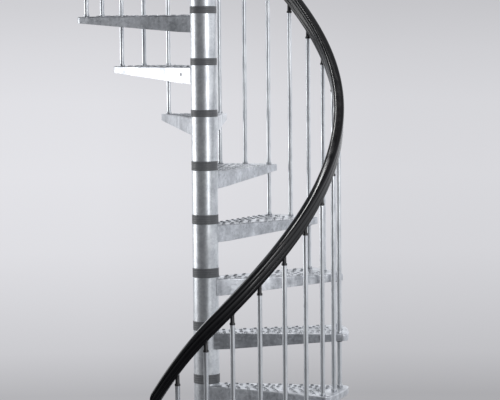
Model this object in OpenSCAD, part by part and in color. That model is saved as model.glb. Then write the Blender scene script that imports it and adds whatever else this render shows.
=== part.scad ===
// Spiral staircase in galvanised steel, assembled from a kit.
// Round column of stacked hub tubes with plastic spacer rings between them,
// folded sheet treads welded to the hubs, a landing, tube balusters and a
// black plastic handrail.
// Frame: origin on the column's axis at floor level, +Z up. The first tread
// points to -Y and the stair climbs counterclockwise seen from above.

/* [Levels] */
// Number of treads below the landing
tread_count = 11; // [8:1:11]
// Length of each hub tube on the column
hub_h = 195; // [160:1:215]
// Thickness of one plastic spacer disc
disc_t = 10; // [6:0.5:14]
// Discs under each of the lower hubs
discs_lower = 4; // [2:1:5]
// Discs under each of the upper hubs
discs_upper = 3; // [2:1:5]
// How many hubs, from the floor up, stand on the lower number of discs
lower_joints = 9; // [1:1:12]

/* [Column] */
// Outer diameter of the hub tubes
hub_d = 114.3; // [95:0.1:150]
// Wall of the hub tubes
hub_wall = 3.6; // [2.5:0.1:6]
// How far the spacer discs stand out from the hub tubes all round
disc_proud = 1.1; // [0.2:0.1:4]
// Outer diameter of the pole inside the column
pole_d = 60.3; // [40:0.1:76]
// Wall of the pole inside the column
pole_wall = 3.2; // [2:0.1:6]
// Height of the newel tube's cap above the landing
newel_h = 1000; // [850:5:1200]
// Thickness of the newel tube's cap
cap_t = 12; // [6:1:20]

/* [Base plate] */
// Diameter of the base plate
base_d = 300; // [240:1:420]
// Thickness of the base plate
base_t = 8; // [6:1:15]
// From the axes of the base plate's bolt holes to its edge
base_edge = 30; // [14:1:45]
// Diameter of the base plate's bolt holes
base_hole_d = 14; // [9:0.5:20]
// Number of bolt holes in the base plate
base_holes = 4; // [3:1:8]

/* [Treads] */
// Angle from one tread to the next
tread_angle = 23.2; // [20:0.1:25]
// How far the first tread is turned past its even place
first_turn = 0.8; // [-2:0.1:2]
// Radius of the treads' outer edge
outer_r = 628; // [520:1:800]
// How far a hub tube stands out past each side of its tread
hub_past = 7.15; // [3:0.05:18]
// How far a tread's side edges run out past its corner balusters' axes
tread_lap = 32.6; // [22:0.1:50]
// Thickness of the folded sheet
sheet_t = 3; // [2:0.5:5]
// Depth of a tread's side flanges at the hub
flange_hub = 75; // [50:1:110]
// Depth of a tread's flanges at the outer end
flange_outer = 30; // [20:1:45]
// Radius of the rounded corners at the outer end
corner_r = 24; // [8:1:32]
// How far a hub stands above its tread's surface
hub_over = 8; // [4:1:20]

/* [Landing] */
// Tread angles that the landing spans between its end balusters
landing_spans = 3; // [2:1:3]
// Diameter of the fixing holes in the landing's rear flange
landing_hole_d = 13; // [9:0.5:18]
// Number of fixing holes in the landing's rear flange
landing_holes = 3; // [2:1:4]

/* [Balustrade] */
// Distance of the balusters' axes inside the treads' outer edge
baluster_inset = 38; // [30:1:60]
// Outer diameter of the balusters
baluster_d = 20; // [16:0.5:26]
// Wall of the balusters
baluster_wall = 1.5; // [1:0.1:2.5]
// Height of the baluster caps' lower edge above a tread, at its middle
baluster_h = 931; // [800:1:1050]
// Height of a baluster cap, from its lower edge to the handrail
cap_h = 40; // [30:1:60]
// Angle from the floor-standing baluster to the first tread's first one
start_angle = 9.2; // [8:0.1:11.6]
// Height of the bright foot collars round the balusters
foot_h = 10; // [6:1:16]
// How far the black bushes show below the outer flange
bush_show = 7; // [3:1:12]
// Diameter of the floor plate under the floor-standing baluster
start_plate_d = 60; // [40:1:80]
// Thickness of that floor plate
start_plate_t = 5; // [3:1:8]

/* [Handrail] */
// Width of the handrail
rail_w = 46; // [36:1:56]
// Height of the handrail across its run
rail_h = 62; // [45:1:75]
// Height of the lengthwise groove above the handrail's underside
groove_up = 27; // [22:1:32]
// Depth of the lengthwise groove
groove_depth = 2.5; // [1:0.5:4]
// How far the handrail runs past its end balusters
rail_past = 12; // [11:1:60]
// Droop of the handrail at the floor-standing baluster, under its even climb
end_droop = 66; // [0:1:80]
// Height of the handrail at its lower end, across its run
end_h = 47; // [40:1:62]
// Length of the rounded end pieces
rail_end_l = 10; // [8:1:20]

/* [Hidden] */
$fn = 64;
// Clearance between a spigot, plug or collar and what it fits
fit = 0.25;
// Clearance round a baluster in the corner hole that it passes through
hole_fit = 0.5;
// Gap between a baluster cap's top and the handrail's underside
rail_gap = 0.3;
// Allowance by which cutting shapes run past what they cut
over = 1;
steel = "silver";
plastic_grey = [0.36, 0.38, 0.39];
plastic_black = [0.08, 0.08, 0.09];
galvanised = [0.72, 0.74, 0.76];

// Column
hub_id = hub_d - 2 * hub_wall;
disc_d = hub_d + 2 * disc_proud;
pole_id = pole_d - 2 * pole_wall;
base_pcd = base_d - 2 * base_edge;
spigot_l = 6;
seam_w = 0.8;
seam_depth = 0.7;
pole_socket_l = 60;

// Number of discs under hub n, and the height of that hub's lower end
function discs(n) = n <= lower_joints ? discs_lower : discs_upper;
function disc_sum(n) = n == 0 ? 0 : discs(n) + disc_sum(n - 1);
function hub_z(n) = base_t + disc_t * disc_sum(n) + hub_h * (n - 1);
function tread_z(n) = hub_z(n) + hub_h - hub_over;
function even_theta(n) = tread_angle * (n - 1);
function tread_theta(n) = even_theta(n) + (n == 1 ? first_turn : 0);

// The landing is counted as the tread after the last one
landing_n = tread_count + 1;
landing_z = tread_z(landing_n);
landing_extra = tread_angle * (landing_spans - 1);
landing_theta = tread_theta(landing_n) + landing_extra / 2;
newel_z = hub_z(landing_n) + hub_h + discs_upper * disc_t;
newel_top = landing_z + newel_h;

// Balusters stand at half tread angles, so every second one passes through
// the front corner of a tread and stands on the tread below
baluster_r = outer_r - baluster_inset;
half_angle = tread_angle / 2;

// Tread outline: a straight side line, a rounded corner and an outer arc. The
// side line runs from beside the column's axis to beside a corner baluster.
side_from = [hub_d / 4, hub_d / 2 - hub_past];
side_to = [baluster_r * cos(half_angle), baluster_r * sin(half_angle) + tread_lap];
side_slope = atan2(side_to[1] - side_from[1], side_to[0] - side_from[0]);
side_dist = side_from[1] * cos(side_slope) - side_from[0] * sin(side_slope);
corner_side = side_dist - corner_r;
corner_along = sqrt(pow(outer_r - corner_r, 2) - pow(corner_side, 2));
corner_x = corner_along * cos(side_slope) - corner_side * sin(side_slope);
corner_y = corner_along * sin(side_slope) + corner_side * cos(side_slope);
corner_angle = atan2(corner_y, corner_x);
side_start = 12;
corner_steps = 5;
arc_step = 2.4;

function turn(p, a) = [p[0] * cos(a) - p[1] * sin(a), p[0] * sin(a) + p[1] * cos(a)];
function mirror_y(p) = [p[0], -p[1]];

// Points of one half of the outline, set in by t all round
function half_outline(extra, t) = let(
    steps = ceil((corner_angle + extra / 2) / arc_step)
) concat(
    [turn([side_start, (side_dist - t) / cos(side_slope) + side_start * tan(side_slope)], extra / 2)],
    [for (i = [0:corner_steps])
        let(a = 90 + side_slope + (corner_angle - 90 - side_slope) * i / corner_steps)
        turn([corner_x + (corner_r - t) * cos(a), corner_y + (corner_r - t) * sin(a)], extra / 2)],
    [for (i = [1:steps])
        let(a = (corner_angle + extra / 2) * (1 - i / steps))
        [(outer_r - t) * cos(a), (outer_r - t) * sin(a)]]
);

// The whole outline: one half and its mirror image, without the shared point
function outline(extra, t) = let(
    half = half_outline(extra, t)
) concat(half, [for (i = [len(half) - 2:-1:0]) mirror_y(half[i])]);

// Balustrade
last_k = 2 * tread_count + 2 * landing_spans - 1;
function baluster_theta(k) = half_angle * k + (k < 1 ? first_turn : 0);
start_theta = baluster_theta(-1) - start_angle;
tube_r = baluster_d / 2;
collar_r = tube_r + 2;
foot_r = tube_r + 3.2;
bush_r = tube_r + 2.5;
neck_r = tube_r - 1;
plug_l = 14;
tube_in_cap = 5;
collar_h = 9;

// Height of the caps' lower edge at angle a: it climbs with the treads and
// levels over the landing, half a tread angle before its middle baluster
level_angle = tread_theta(landing_n) - half_angle / 2;
arc_mm = baluster_r * PI / 180;
rail_step = half_angle / 3;
function climb(a) = let(
    n = max(1, min(tread_count, floor(a / tread_angle) + 1)),
    part = (a - even_theta(n)) / tread_angle
) tread_z(n) + baluster_h + part * (tread_z(n + 1) - tread_z(n));
function cap_line(a) = climb(min(a, level_angle));

// The droop grows with the square of the angle short of droop_theta, and
// reaches end_droop at the floor-standing baluster
droop_theta = half_angle / 3;
function droop(a) = end_droop * pow(max(0, droop_theta - a) / (droop_theta - start_theta), 2);

// The same line with its bend over the landing eased
ease = [-5.4, -3.6, -1.8, 0, 1.8, 3.6, 5.4];
function cap_z(a) = [for (e = ease) cap_line(a + e)] * [for (e = ease) 1 / len(ease)] - droop(a);
function slope_between(a, b) = (cap_z(b) - cap_z(a)) / ((b - a) * arc_mm);
function rail_slope(a) = slope_between(a - 0.25, a + 0.25);
function rail_stretch(a) = sqrt(1 + pow(rail_slope(a), 2));

// Handrail: one profile swept along the cap line
rail_from = start_theta - rail_past / arc_mm;
rail_to = half_angle * last_k + rail_past / arc_mm;
fine_step = rail_step / 2;
fine_first = ceil((start_theta + 0.5) / fine_step);
rail_last = floor((rail_to - 0.5) / rail_step);
rail_angles = concat(
    [rail_from, start_theta],
    [for (i = [fine_first:1]) i * fine_step],
    [for (i = [1:rail_last]) i * rail_step],
    [rail_to]
);
groove_z = groove_up - rail_h / 2;
rail_half = [
    [rail_w * 0.26, -rail_h * 0.5],
    [rail_w * 0.40, -rail_h * 0.44],
    [rail_w * 0.46, -rail_h * 0.30],
    [rail_w * 0.46, groove_z - groove_depth * 1.4],
    [rail_w * 0.46 - groove_depth, groove_z],
    [rail_w * 0.50, groove_z + groove_depth * 1.4],
    [rail_w * 0.50, rail_h * 0.18],
    [rail_w * 0.42, rail_h * 0.36],
    [rail_w * 0.24, rail_h * 0.47]
];
rail_profile = concat(
    rail_half,
    [[0, rail_h * 0.5]],
    [for (i = [len(rail_half) - 1:-1:0]) [-rail_half[i][0], rail_half[i][1]]]
);

// Height of the profile at angle a over its full height: it tapers as it droops
function taper(a) = let(
    part = min(1, max(0, droop_theta - a) / (droop_theta - rail_from))
) 1 - part * (1 - end_h / rail_h);

// One ring of the handrail at angle a, its profile shrunk by s
function rail_ring(a, s) = let(
    tall = taper(a) * rail_stretch(a),
    middle = cap_z(a) + cap_h + rail_h / 2 * tall
) [for (p = rail_profile) [
    (baluster_r + p[0] * s) * cos(a - 90),
    (baluster_r + p[0] * s) * sin(a - 90),
    middle + p[1] * s * tall
]];

// Faces of a tube of rings, closed at both ends
function ring_faces(rings, size) = concat(
    [[for (i = [size - 1:-1:0]) i]],
    [for (r = [0:rings - 2]) for (i = [0:size - 1])
        let(j = (i + 1) % size) [r * size + i, r * size + j, (r + 1) * size + j]],
    [for (r = [0:rings - 2]) for (i = [0:size - 1])
        let(j = (i + 1) % size) [r * size + i, (r + 1) * size + j, (r + 1) * size + i]],
    [[for (i = [0:size - 1]) (rings - 1) * size + i]]
);

function two_digits(n) = n < 10 ? str("0", n) : str(n);
function tread_name(n) = str("tread_", two_digits(n));

// Balusters in four groups, by the number of the baluster
baluster_groups = [
    ["balusters_lower", -1, 6],
    ["balusters_middle", 7, 13],
    ["balusters_upper", 14, 2 * tread_count - 2],
    ["balusters_landing", 2 * tread_count - 1, last_k]
];

// Turns a piece that points along +X to angle a of the stair
module at_angle(a) {
    rotate([0, 0, a - 90]) children();
}

// Puts a piece on the baluster circle at angle a and height z
module at_baluster(a, z) {
    at_angle(a) translate([baluster_r, 0, z]) children();
}

module base_plate() {
    color(steel) {
        difference() {
            cylinder(h = base_t, d = base_d);
            for (i = [0:base_holes - 1]) {
                rotate([0, 0, 45 + 360 * i / base_holes])
                    translate([base_pcd / 2, 0, -over])
                        cylinder(h = base_t + 2 * over, d = base_hole_d);
            }
        }
        translate([0, 0, base_t - over])
            cylinder(h = pole_socket_l + over, d = pole_id - 2 * fit);
    }
}

module centre_pole() {
    color(steel) translate([0, 0, base_t]) difference() {
        cylinder(h = newel_top - base_t, d = pole_d);
        translate([0, 0, -over]) cylinder(h = newel_top - base_t + 2 * over, d = pole_id);
    }
}

// A stack of discs with its lower face at z = 0, and spigots in the tubes
module spacer(count, spigot_below) {
    h = count * disc_t;
    color(plastic_grey) rotate_extrude() difference() {
        union() {
            translate([pole_d / 2 + fit, 0])
                square([disc_d / 2 - pole_d / 2 - fit, h]);
            translate([pole_d / 2 + fit, spigot_below ? -spigot_l : 0])
                square([hub_id / 2 - pole_d / 2 - 2 * fit, h + (spigot_below ? 2 : 1) * spigot_l]);
        }
        for (i = [1:count - 1]) {
            translate([disc_d / 2 - seam_depth, i * disc_t - seam_w / 2])
                square([seam_depth + over, seam_w]);
        }
    }
}

module spacers_lower() {
    for (n = [1:min(lower_joints, landing_n)]) {
        translate([0, 0, hub_z(n) - discs(n) * disc_t]) spacer(discs(n), n > 1);
    }
}

module spacers_upper() {
    if (lower_joints < landing_n) {
        for (n = [lower_joints + 1:landing_n]) {
            translate([0, 0, hub_z(n) - discs(n) * disc_t]) spacer(discs(n), true);
        }
    }
    translate([0, 0, newel_z - discs_upper * disc_t]) spacer(discs_upper, true);
}

// Space under the sloping lower edges of a tread's side flanges
module flange_taper() {
    rotate([90, 0, 0]) translate([0, 0, -outer_r]) linear_extrude(2 * outer_r)
        polygon([
            [hub_d / 2, -flange_hub],
            [baluster_r, -flange_outer],
            [outer_r + over, -flange_outer],
            [outer_r + over, -flange_hub - over],
            [0, -flange_hub - over],
            [0, -flange_hub]
        ]);
}

// Folded sheet tray with its upper face at z = 0, spread by angle extra
module tray(extra, tapered) {
    difference() {
        translate([0, 0, -flange_hub]) linear_extrude(flange_hub) polygon(outline(extra, 0));
        translate([0, 0, -flange_hub - over])
            linear_extrude(flange_hub + over - sheet_t) polygon(outline(extra, sheet_t));
        if (tapered) flange_taper();
    }
}

// Tray welded to its hub tube, with a hole for the baluster that passes
// through its front corner
module stepped_piece(extra, tapered) {
    color(galvanised) difference() {
        union() {
            cylinder(h = hub_h, d = hub_d);
            translate([0, 0, hub_h - hub_over]) tray(extra, tapered);
        }
        translate([0, 0, -over]) cylinder(h = hub_h + 2 * over, d = hub_id);
        rotate([0, 0, -half_angle - extra / 2])
            translate([baluster_r, 0, hub_h - hub_over - sheet_t - over])
                cylinder(h = sheet_t + 2 * over, d = baluster_d + 2 * hole_fit);
    }
}

module tread(n) {
    at_angle(tread_theta(n)) translate([0, 0, hub_z(n)]) stepped_piece(0, true);
}

// Landing: a wider tray, with fixing holes through its rear flange
module landing() {
    pitch = (corner_along - hub_d / 2) / landing_holes;
    at_angle(landing_theta) translate([0, 0, hub_z(landing_n)]) difference() {
        stepped_piece(landing_extra, false);
        color(galvanised) for (i = [0:landing_holes - 1]) {
            rotate([0, 0, side_slope + landing_extra / 2])
                translate([
                    hub_d / 2 + (i + 0.5) * pitch,
                    side_dist + over,
                    hub_h - hub_over - flange_hub / 2
                ])
                    rotate([90, 0, 0]) cylinder(h = sheet_t + 2 * over, d = landing_hole_d);
        }
    }
}

module newel_tube() {
    color(galvanised) translate([0, 0, newel_z]) difference() {
        cylinder(h = newel_top - newel_z, d = hub_d);
        translate([0, 0, -over]) cylinder(h = newel_top - newel_z + 2 * over, d = hub_id);
    }
}

// Cap with a rim that sits on the newel tube and a ring inside it
module newel_cap() {
    dome_h = cap_t / 3;
    color(plastic_grey) translate([0, 0, newel_top]) rotate_extrude() union() {
        square([disc_d / 2, cap_t - dome_h]);
        polygon([
            [0, cap_t - dome_h],
            [disc_d / 2, cap_t - dome_h],
            [disc_d / 2 - dome_h, cap_t - dome_h / 3],
            [disc_d / 2 - 3 * dome_h, cap_t],
            [0, cap_t]
        ]);
        translate([pole_d / 2 + fit, -2 * spigot_l])
            square([hub_id / 2 - pole_d / 2 - 2 * fit, 2 * spigot_l + over]);
    }
}

// Tube from height z up to its place inside the cap at angle a
module baluster(a, z) {
    h = cap_z(a) + tube_in_cap - z;
    color(galvanised) at_baluster(a, z) difference() {
        cylinder(h = h, r = tube_r, $fn = 32);
        translate([0, 0, -over]) cylinder(h = h + 2 * over, r = tube_r - baluster_wall, $fn = 32);
    }
}

// The tread or landing that baluster k stands on
function foot_n(k) = k < 0 ? 1 : min(landing_n, floor(k / 2) + 1);
function foot_z(k) = tread_z(foot_n(k));

module balusters(first, last) {
    for (k = [first:last]) {
        baluster(baluster_theta(k), foot_z(k));
    }
}

module start_baluster() {
    baluster(start_theta, start_plate_t);
}

module start_plate() {
    color(galvanised) at_baluster(start_theta, 0) {
        cylinder(h = start_plate_t, d = start_plate_d);
        translate([0, 0, start_plate_t - over])
            cylinder(h = 3 * foot_h + over, r = tube_r - baluster_wall - fit);
    }
}

// Cap at angle a: a plug in the tube, a collar round its end and a neck cut
// to the slope of the handrail's underside
module baluster_cap(a) {
    plug_r = tube_r - baluster_wall - fit;
    below = atan(slope_between(a - rail_step, a));
    above = atan(slope_between(a, a + rail_step));
    color(plastic_black) at_baluster(a, cap_z(a)) difference() {
        rotate_extrude($fn = 32) polygon([
            [0, tube_in_cap - plug_l],
            [plug_r, tube_in_cap - plug_l],
            [plug_r, tube_in_cap],
            [tube_r + fit, tube_in_cap],
            [tube_r + fit, 0],
            [collar_r, 0],
            [collar_r, collar_h],
            [neck_r, collar_h + 1.5],
            [neck_r, cap_h + 2 * tube_r],
            [0, cap_h + 2 * tube_r]
        ]);
        for (slope = [below, above]) {
            translate([0, 0, cap_h - rail_gap]) rotate([slope, 0, 0])
                translate([-4 * tube_r, -4 * tube_r, 0]) cube([8 * tube_r, 8 * tube_r, 6 * tube_r]);
        }
    }
}

module baluster_caps() {
    baluster_cap(start_theta);
    for (k = [-1:last_k]) {
        baluster_cap(baluster_theta(k));
    }
}

// Ring round a baluster
module collar(r, h) {
    difference() {
        cylinder(h = h, r = r, $fn = 32);
        translate([0, 0, -over]) cylinder(h = h + 2 * over, r = tube_r + fit, $fn = 32);
    }
}

// Collars on the treads, where balusters stand and where they pass through
module foot_collars() {
    color(steel) {
        for (k = [0:last_k]) {
            at_baluster(baluster_theta(k), foot_z(k)) collar(foot_r, foot_h);
        }
        for (n = [1:landing_n]) {
            at_baluster(tread_theta(n) - half_angle, tread_z(n)) collar(foot_r, foot_h);
        }
    }
}

// Bushes inside the front corners, which show under the outer flange
module corner_bushes() {
    color(plastic_black) for (n = [2:landing_n]) {
        depth = n == landing_n ? flange_hub : flange_outer;
        h = depth + bush_show - sheet_t;
        at_baluster(tread_theta(n) - half_angle, tread_z(n) - sheet_t - h) collar(bush_r, h);
    }
}

module handrail() {
    rings = [for (a = rail_angles) rail_ring(a, 1)];
    color(plastic_black) polyhedron(
        points = [for (r = rings) for (p = r) p],
        faces = ring_faces(len(rings), len(rail_profile))
    );
}

// Rounded end piece that starts at angle a and runs in direction dir
module handrail_end(a, dir) {
    turns = [0, 25, 45, 62, 76];
    rings = [for (t = turns) rail_ring(a + dir * rail_end_l / arc_mm * sin(t), cos(t))];
    ordered = dir > 0 ? rings : [for (i = [len(rings) - 1:-1:0]) rings[i]];
    color(plastic_black) polyhedron(
        points = [for (r = ordered) for (p = r) p],
        faces = ring_faces(len(rings), len(rail_profile))
    );
}

base_plate();
centre_pole();
spacers_lower();
spacers_upper();
for (n = [1:tread_count]) {
    tread(n);
}
landing();
newel_tube();
newel_cap();
start_baluster();
start_plate();
for (g = baluster_groups) {
    balusters(g[1], g[2]);
}
baluster_caps();
foot_collars();
corner_bushes();
handrail();
handrail_end(rail_from, -1);  // handrail_end_lower
handrail_end(rail_to, 1);  // handrail_end_upper
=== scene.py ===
"""Detailed meshes, finishes and a studio for a galvanised spiral staircase."""

import functools
from math import acos, atan, atan2, ceil, cos, floor, hypot, pi, radians, sin, sqrt, tan
from math import degrees as in_degrees

import bpy
import numpy as np
from bpy.props import FloatProperty, FloatVectorProperty, IntProperty, PointerProperty
from mathutils import Matrix, Vector
from mathutils.geometry import delaunay_2d_cdt


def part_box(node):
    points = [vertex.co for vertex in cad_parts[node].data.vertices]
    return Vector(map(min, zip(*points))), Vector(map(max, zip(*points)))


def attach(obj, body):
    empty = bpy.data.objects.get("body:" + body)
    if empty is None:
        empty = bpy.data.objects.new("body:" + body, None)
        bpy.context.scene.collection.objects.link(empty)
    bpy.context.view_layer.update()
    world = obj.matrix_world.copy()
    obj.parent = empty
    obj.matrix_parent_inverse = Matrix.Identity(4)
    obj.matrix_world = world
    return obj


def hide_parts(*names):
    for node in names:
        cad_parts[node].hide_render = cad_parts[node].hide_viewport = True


bl_info = {
    "name": "Galvanised Spiral Staircase",
    "version": (1, 0, 0),
    "blender": (4, 5, 0),
    "location": "3D View > Sidebar > Staircase",
    "description": "Builds a kit staircase's treads, rings, balustrade, handrail and finishes",
    "category": "Object",
}

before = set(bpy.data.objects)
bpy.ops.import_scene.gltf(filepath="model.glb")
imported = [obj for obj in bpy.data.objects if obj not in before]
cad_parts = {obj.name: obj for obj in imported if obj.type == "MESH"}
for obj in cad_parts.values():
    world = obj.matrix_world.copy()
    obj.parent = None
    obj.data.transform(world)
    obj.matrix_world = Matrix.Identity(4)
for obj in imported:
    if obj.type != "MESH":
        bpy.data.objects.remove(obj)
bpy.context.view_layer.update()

MM = 0.001
TREADS = sorted(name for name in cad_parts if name.startswith("tread_"))
LANDING = "landing"
HUB_R = (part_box("newel_tube")[1].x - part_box("newel_tube")[0].x) / 2
HUB_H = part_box("landing")[1].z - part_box("landing")[0].z
DISC_R = (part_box("newel_cap")[1].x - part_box("newel_cap")[0].x) / 2
NEWEL_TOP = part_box("newel_tube")[1].z
HUB_TOPS = [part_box(name)[1].z for name in TREADS + [LANDING]]
MARKED_TREAD = "tread_10"
MARK_R = (6.5 * MM, 10.5 * MM)  # the painted shade spot is full inside the first, gone past the second
PLUG = 9 * MM  # how deep a cap's plug goes into its tube
TUBE_IN_CAP = 5 * MM  # how far a baluster goes into its cap
PLAY = 0.25 * MM  # between a tube and what sits round it
COLLAR_WALL = 3.2 * MM
PLATE_SCREWS = 21 * MM  # from the floor plate's middle to its screws
SINK = 0.2 * MM  # how far a bolt's head sinks into its washer, so that no gap shows
CROWNS_START = 26 * MM  # from the hub to the first crown of a row
CROWNS_CLEAR = 20 * MM  # plain sheet round the hub
# Head across its flats, its height and chamfer; washer's inner and outer radius, thickness.
BOLTS = {
    "baluster": (13 * MM, 7 * MM, 0.8 * MM, 4.2 * MM, 9 * MM, 1.6 * MM),
    "anchor": (18 * MM, 10 * MM, 1.2 * MM, 6.3 * MM, 12 * MM, 2.5 * MM),
}
TRAY_START = HUB_R - 1.6 * MM  # a tray's inner edge, inside its hub's wall
COLUMN_STEPS = 96
TUBE_STEPS = 28
BALUSTER_GROUPS = {
    "balusters_lower": (-1, 6),
    "balusters_middle": (7, 13),
    "balusters_upper": (14, 20),
    "balusters_landing": (21, 27),
}


def length(name, default, description, low=0.0, high=10.0):
    """A length property in metres."""
    return FloatProperty(
        name=name, description=description, default=default, min=low, max=high,
        subtype="DISTANCE", unit="LENGTH",
    )


def angle(name, default, description):
    """An angle property whose default is given in degrees."""
    return FloatProperty(
        name=name, description=description, default=radians(default), subtype="ANGLE",
    )


def colour(name, default, description):
    """A colour property."""
    return FloatVectorProperty(
        name=name, description=description, default=default, size=3, min=0, max=1,
        subtype="COLOR",
    )


def number(name, default, description, high=1.0, unit="NONE"):
    """A plain number property, from zero up."""
    return FloatProperty(
        name=name, description=description, default=default, min=0, max=high, unit=unit
    )


class TreadSettings(bpy.types.PropertyGroup):
    """Sizes of the folded treads and the landing."""

    turn: angle("Turn per tread", 23.2, "Angle from one tread to the next")
    first_turn: angle("First tread's turn", 0.8, "How far the first tread stands past its place")
    outer_r: length("Outer radius", 628 * MM, "Radius of the treads' outer edge")
    hub_past: length("Hub past tread", 7.15 * MM, "How far a hub stands out past a tread's side")
    lap: length("Lap", 32.6 * MM, "From a corner baluster's axis to the tread's side edge")
    corner_r: length("Corner radius", 24 * MM, "Radius of the two outer corners")
    sheet: length("Sheet", 3 * MM, "Thickness of the folded sheet")
    bend: length("Bend radius", 5 * MM, "Outer radius of the folded edges")
    flange_hub: length("Flange at hub", 75 * MM, "Depth of the side flanges at the hub")
    flange_outer: length("Flange outside", 30 * MM, "Depth of the flanges at the outer end")
    hub_over: length("Hub over tread", 8 * MM, "How far a hub stands above its tread")
    hub_wall: length("Hub wall", 3.6 * MM, "Wall of the hub tubes")
    edge_margin: length("Edge margin", 21 * MM, "From a side edge to the first crowns")
    row_gap: length("Row gap", 26 * MM, "From one row of crowns to the next")
    crown_gap: length("Crown gap", 48 * MM, "From one crown to the next in a row")
    crown_r: length("Crown radius", 9.5 * MM, "Radius of a crown at its foot")
    crown_h: length("Crown height", 3.4 * MM, "Height of a crown's rim")
    plain_end: length("Plain end", 78 * MM, "Plain stretch inside the outer edge")
    # Place of a dark round spot on one tread's rear flange: painted shade, where a hole's dark
    # inside would show
    mark_out: length("Painted shade spot place", 50 * MM, "From the hub along the rear flange")
    mark_down: length("Painted shade spot depth", 33 * MM, "Below the tread's surface")
    fixing_r: length("Fixing hole", 6.5 * MM, "Radius of the landing's fixing holes")


class ColumnSettings(bpy.types.PropertyGroup):
    """Sizes of the spacer rings and the newel tube's cap."""

    disc_h: length("Disc", 10 * MM, "Thickness of one spacer disc")
    disc_edge: length("Disc edge", 1.1 * MM, "Rounding of a disc's rim")
    pole_r: length("Pole radius", 30.15 * MM, "Radius of the pole inside the column")
    cap_h: length("Cap", 12 * MM, "Thickness of the newel tube's cap")
    base_h: length("Base plate", 8 * MM, "Thickness of the base plate")
    anchor_r: length("Anchor circle", 120 * MM, "From the axis to the base plate's anchors")


class RailingSettings(bpy.types.PropertyGroup):
    """Sizes of the balusters and what they stand in."""

    inset: length("Inset", 38 * MM, "Balusters' axes inside the treads' outer edge")
    tube_r: length("Baluster radius", 10 * MM, "Outer radius of the balusters")
    tube_wall: length("Baluster wall", 1.5 * MM, "Wall of the balusters")
    cap_over: length("Cap above tread", 931 * MM, "Caps' lower edge above a tread's middle")
    cap_h: length("Cap height", 40 * MM, "From a cap's lower edge to the handrail")
    start_turn: angle("Start angle", 9.2, "From the floor-standing baluster to the next")
    start_plate: length("Floor plate", 30 * MM, "Radius of the floor plate")
    start_plate_h: length("Floor plate thickness", 5 * MM, "Thickness of the floor plate")
    foot_h: length("Foot collar", 10 * MM, "Height of the bright foot collars")
    bush_show: length("Bush", 7 * MM, "How far the bushes show under the outer flange")


class HandrailSettings(bpy.types.PropertyGroup):
    """Sizes of the handrail."""

    width: length("Width", 46 * MM, "Width of the handrail")
    height: length("Height", 62 * MM, "Height of the handrail across its run")
    groove: length("Groove", 2.5 * MM, "Depth of the lengthwise grooves")
    past: length("Overhang", 12 * MM, "How far it runs past its end balusters")
    end_l: length("End piece", 10 * MM, "Length of the rounded end pieces")
    droop: length("Droop", 66 * MM, "Droop at the floor-standing baluster")
    end_h: length("End height", 47 * MM, "Height of the handrail at its lower end")
    step: angle("Step", 1.45, "Angle between the sections of the sweep")


class FinishSettings(bpy.types.PropertyGroup):
    """Colours and gloss of the finishes."""

    zinc_light: colour("Zinc, light", (0.74, 0.76, 0.80), "Light patches of the zinc")
    zinc_dark: colour("Zinc, dark", (0.32, 0.335, 0.36), "Dark patches of the zinc")
    tube_light: colour("Tube, light", (0.74, 0.76, 0.78), "Light streaks on the tubes")
    tube_dark: colour("Tube, dark", (0.46, 0.48, 0.51), "Dark streaks on the tubes")
    ring_grey: colour("Ring grey", (0.135, 0.14, 0.148), "Spacer rings and newel cap")
    cap_black: colour("Cap black", (0.012, 0.012, 0.014), "Baluster caps and bushes")
    rail_black: colour("Rail black", (0.004, 0.004, 0.005), "Handrail")
    sheet_rough: number("Sheet roughness", 0.36, "Roughness of the folded sheet")
    tube_rough: number("Tube roughness", 0.33, "Roughness of the tubes")
    rail_rough: number("Handrail roughness", 0.13, "Roughness of the handrail")


class StageSettings(bpy.types.PropertyGroup):
    """Camera, lights and floor."""

    distance: length("Camera distance", 8.985, "From the column's axis", 1, 50)
    eye: length("Camera height", 2.4735, "Above the floor")
    around: angle("Camera azimuth", 1.10, "Round the column from the first tread")
    yaw: angle("Yaw", 1.259, "Turn to the right of the column")
    pitch: angle("Pitch", 4.576, "Tilt below the horizon")
    roll: angle("Roll", -0.492, "Roll about the line of sight")
    lens: number("Lens", 147.7, "Focal length in millimetres", 400, "CAMERA")
    floor_r: length("Floor radius", 4.4, "Radius of the studio floor")
    left_power: number("Left light", 42, "Power of the left light", 1000, "POWER")
    right_power: number("Right light", 38, "Power of the right light", 1000, "POWER")
    top_power: number("Top light", 45, "Power of the top light", 1000, "POWER")
    strip_power: number("Strip light", 115, "Power of the strip light", 1000, "POWER")
    seed: IntProperty(name="Seed", description="Seed of the weld ripples", default=7)


# ---------------------------------------------------------------- geometry


def polar(radius, a, z=0.0):
    """Point at a distance and bearing from the Z axis."""
    return radius * cos(a), radius * sin(a), z


def in_mm(profile):
    """A profile given in millimetres."""
    return [(radius * MM, z * MM) for radius, z in profile]


def add_object(name, data):
    """A new object in the scene."""
    obj = bpy.data.objects.new(name, data)
    bpy.context.scene.collection.objects.link(obj)
    return obj


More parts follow.
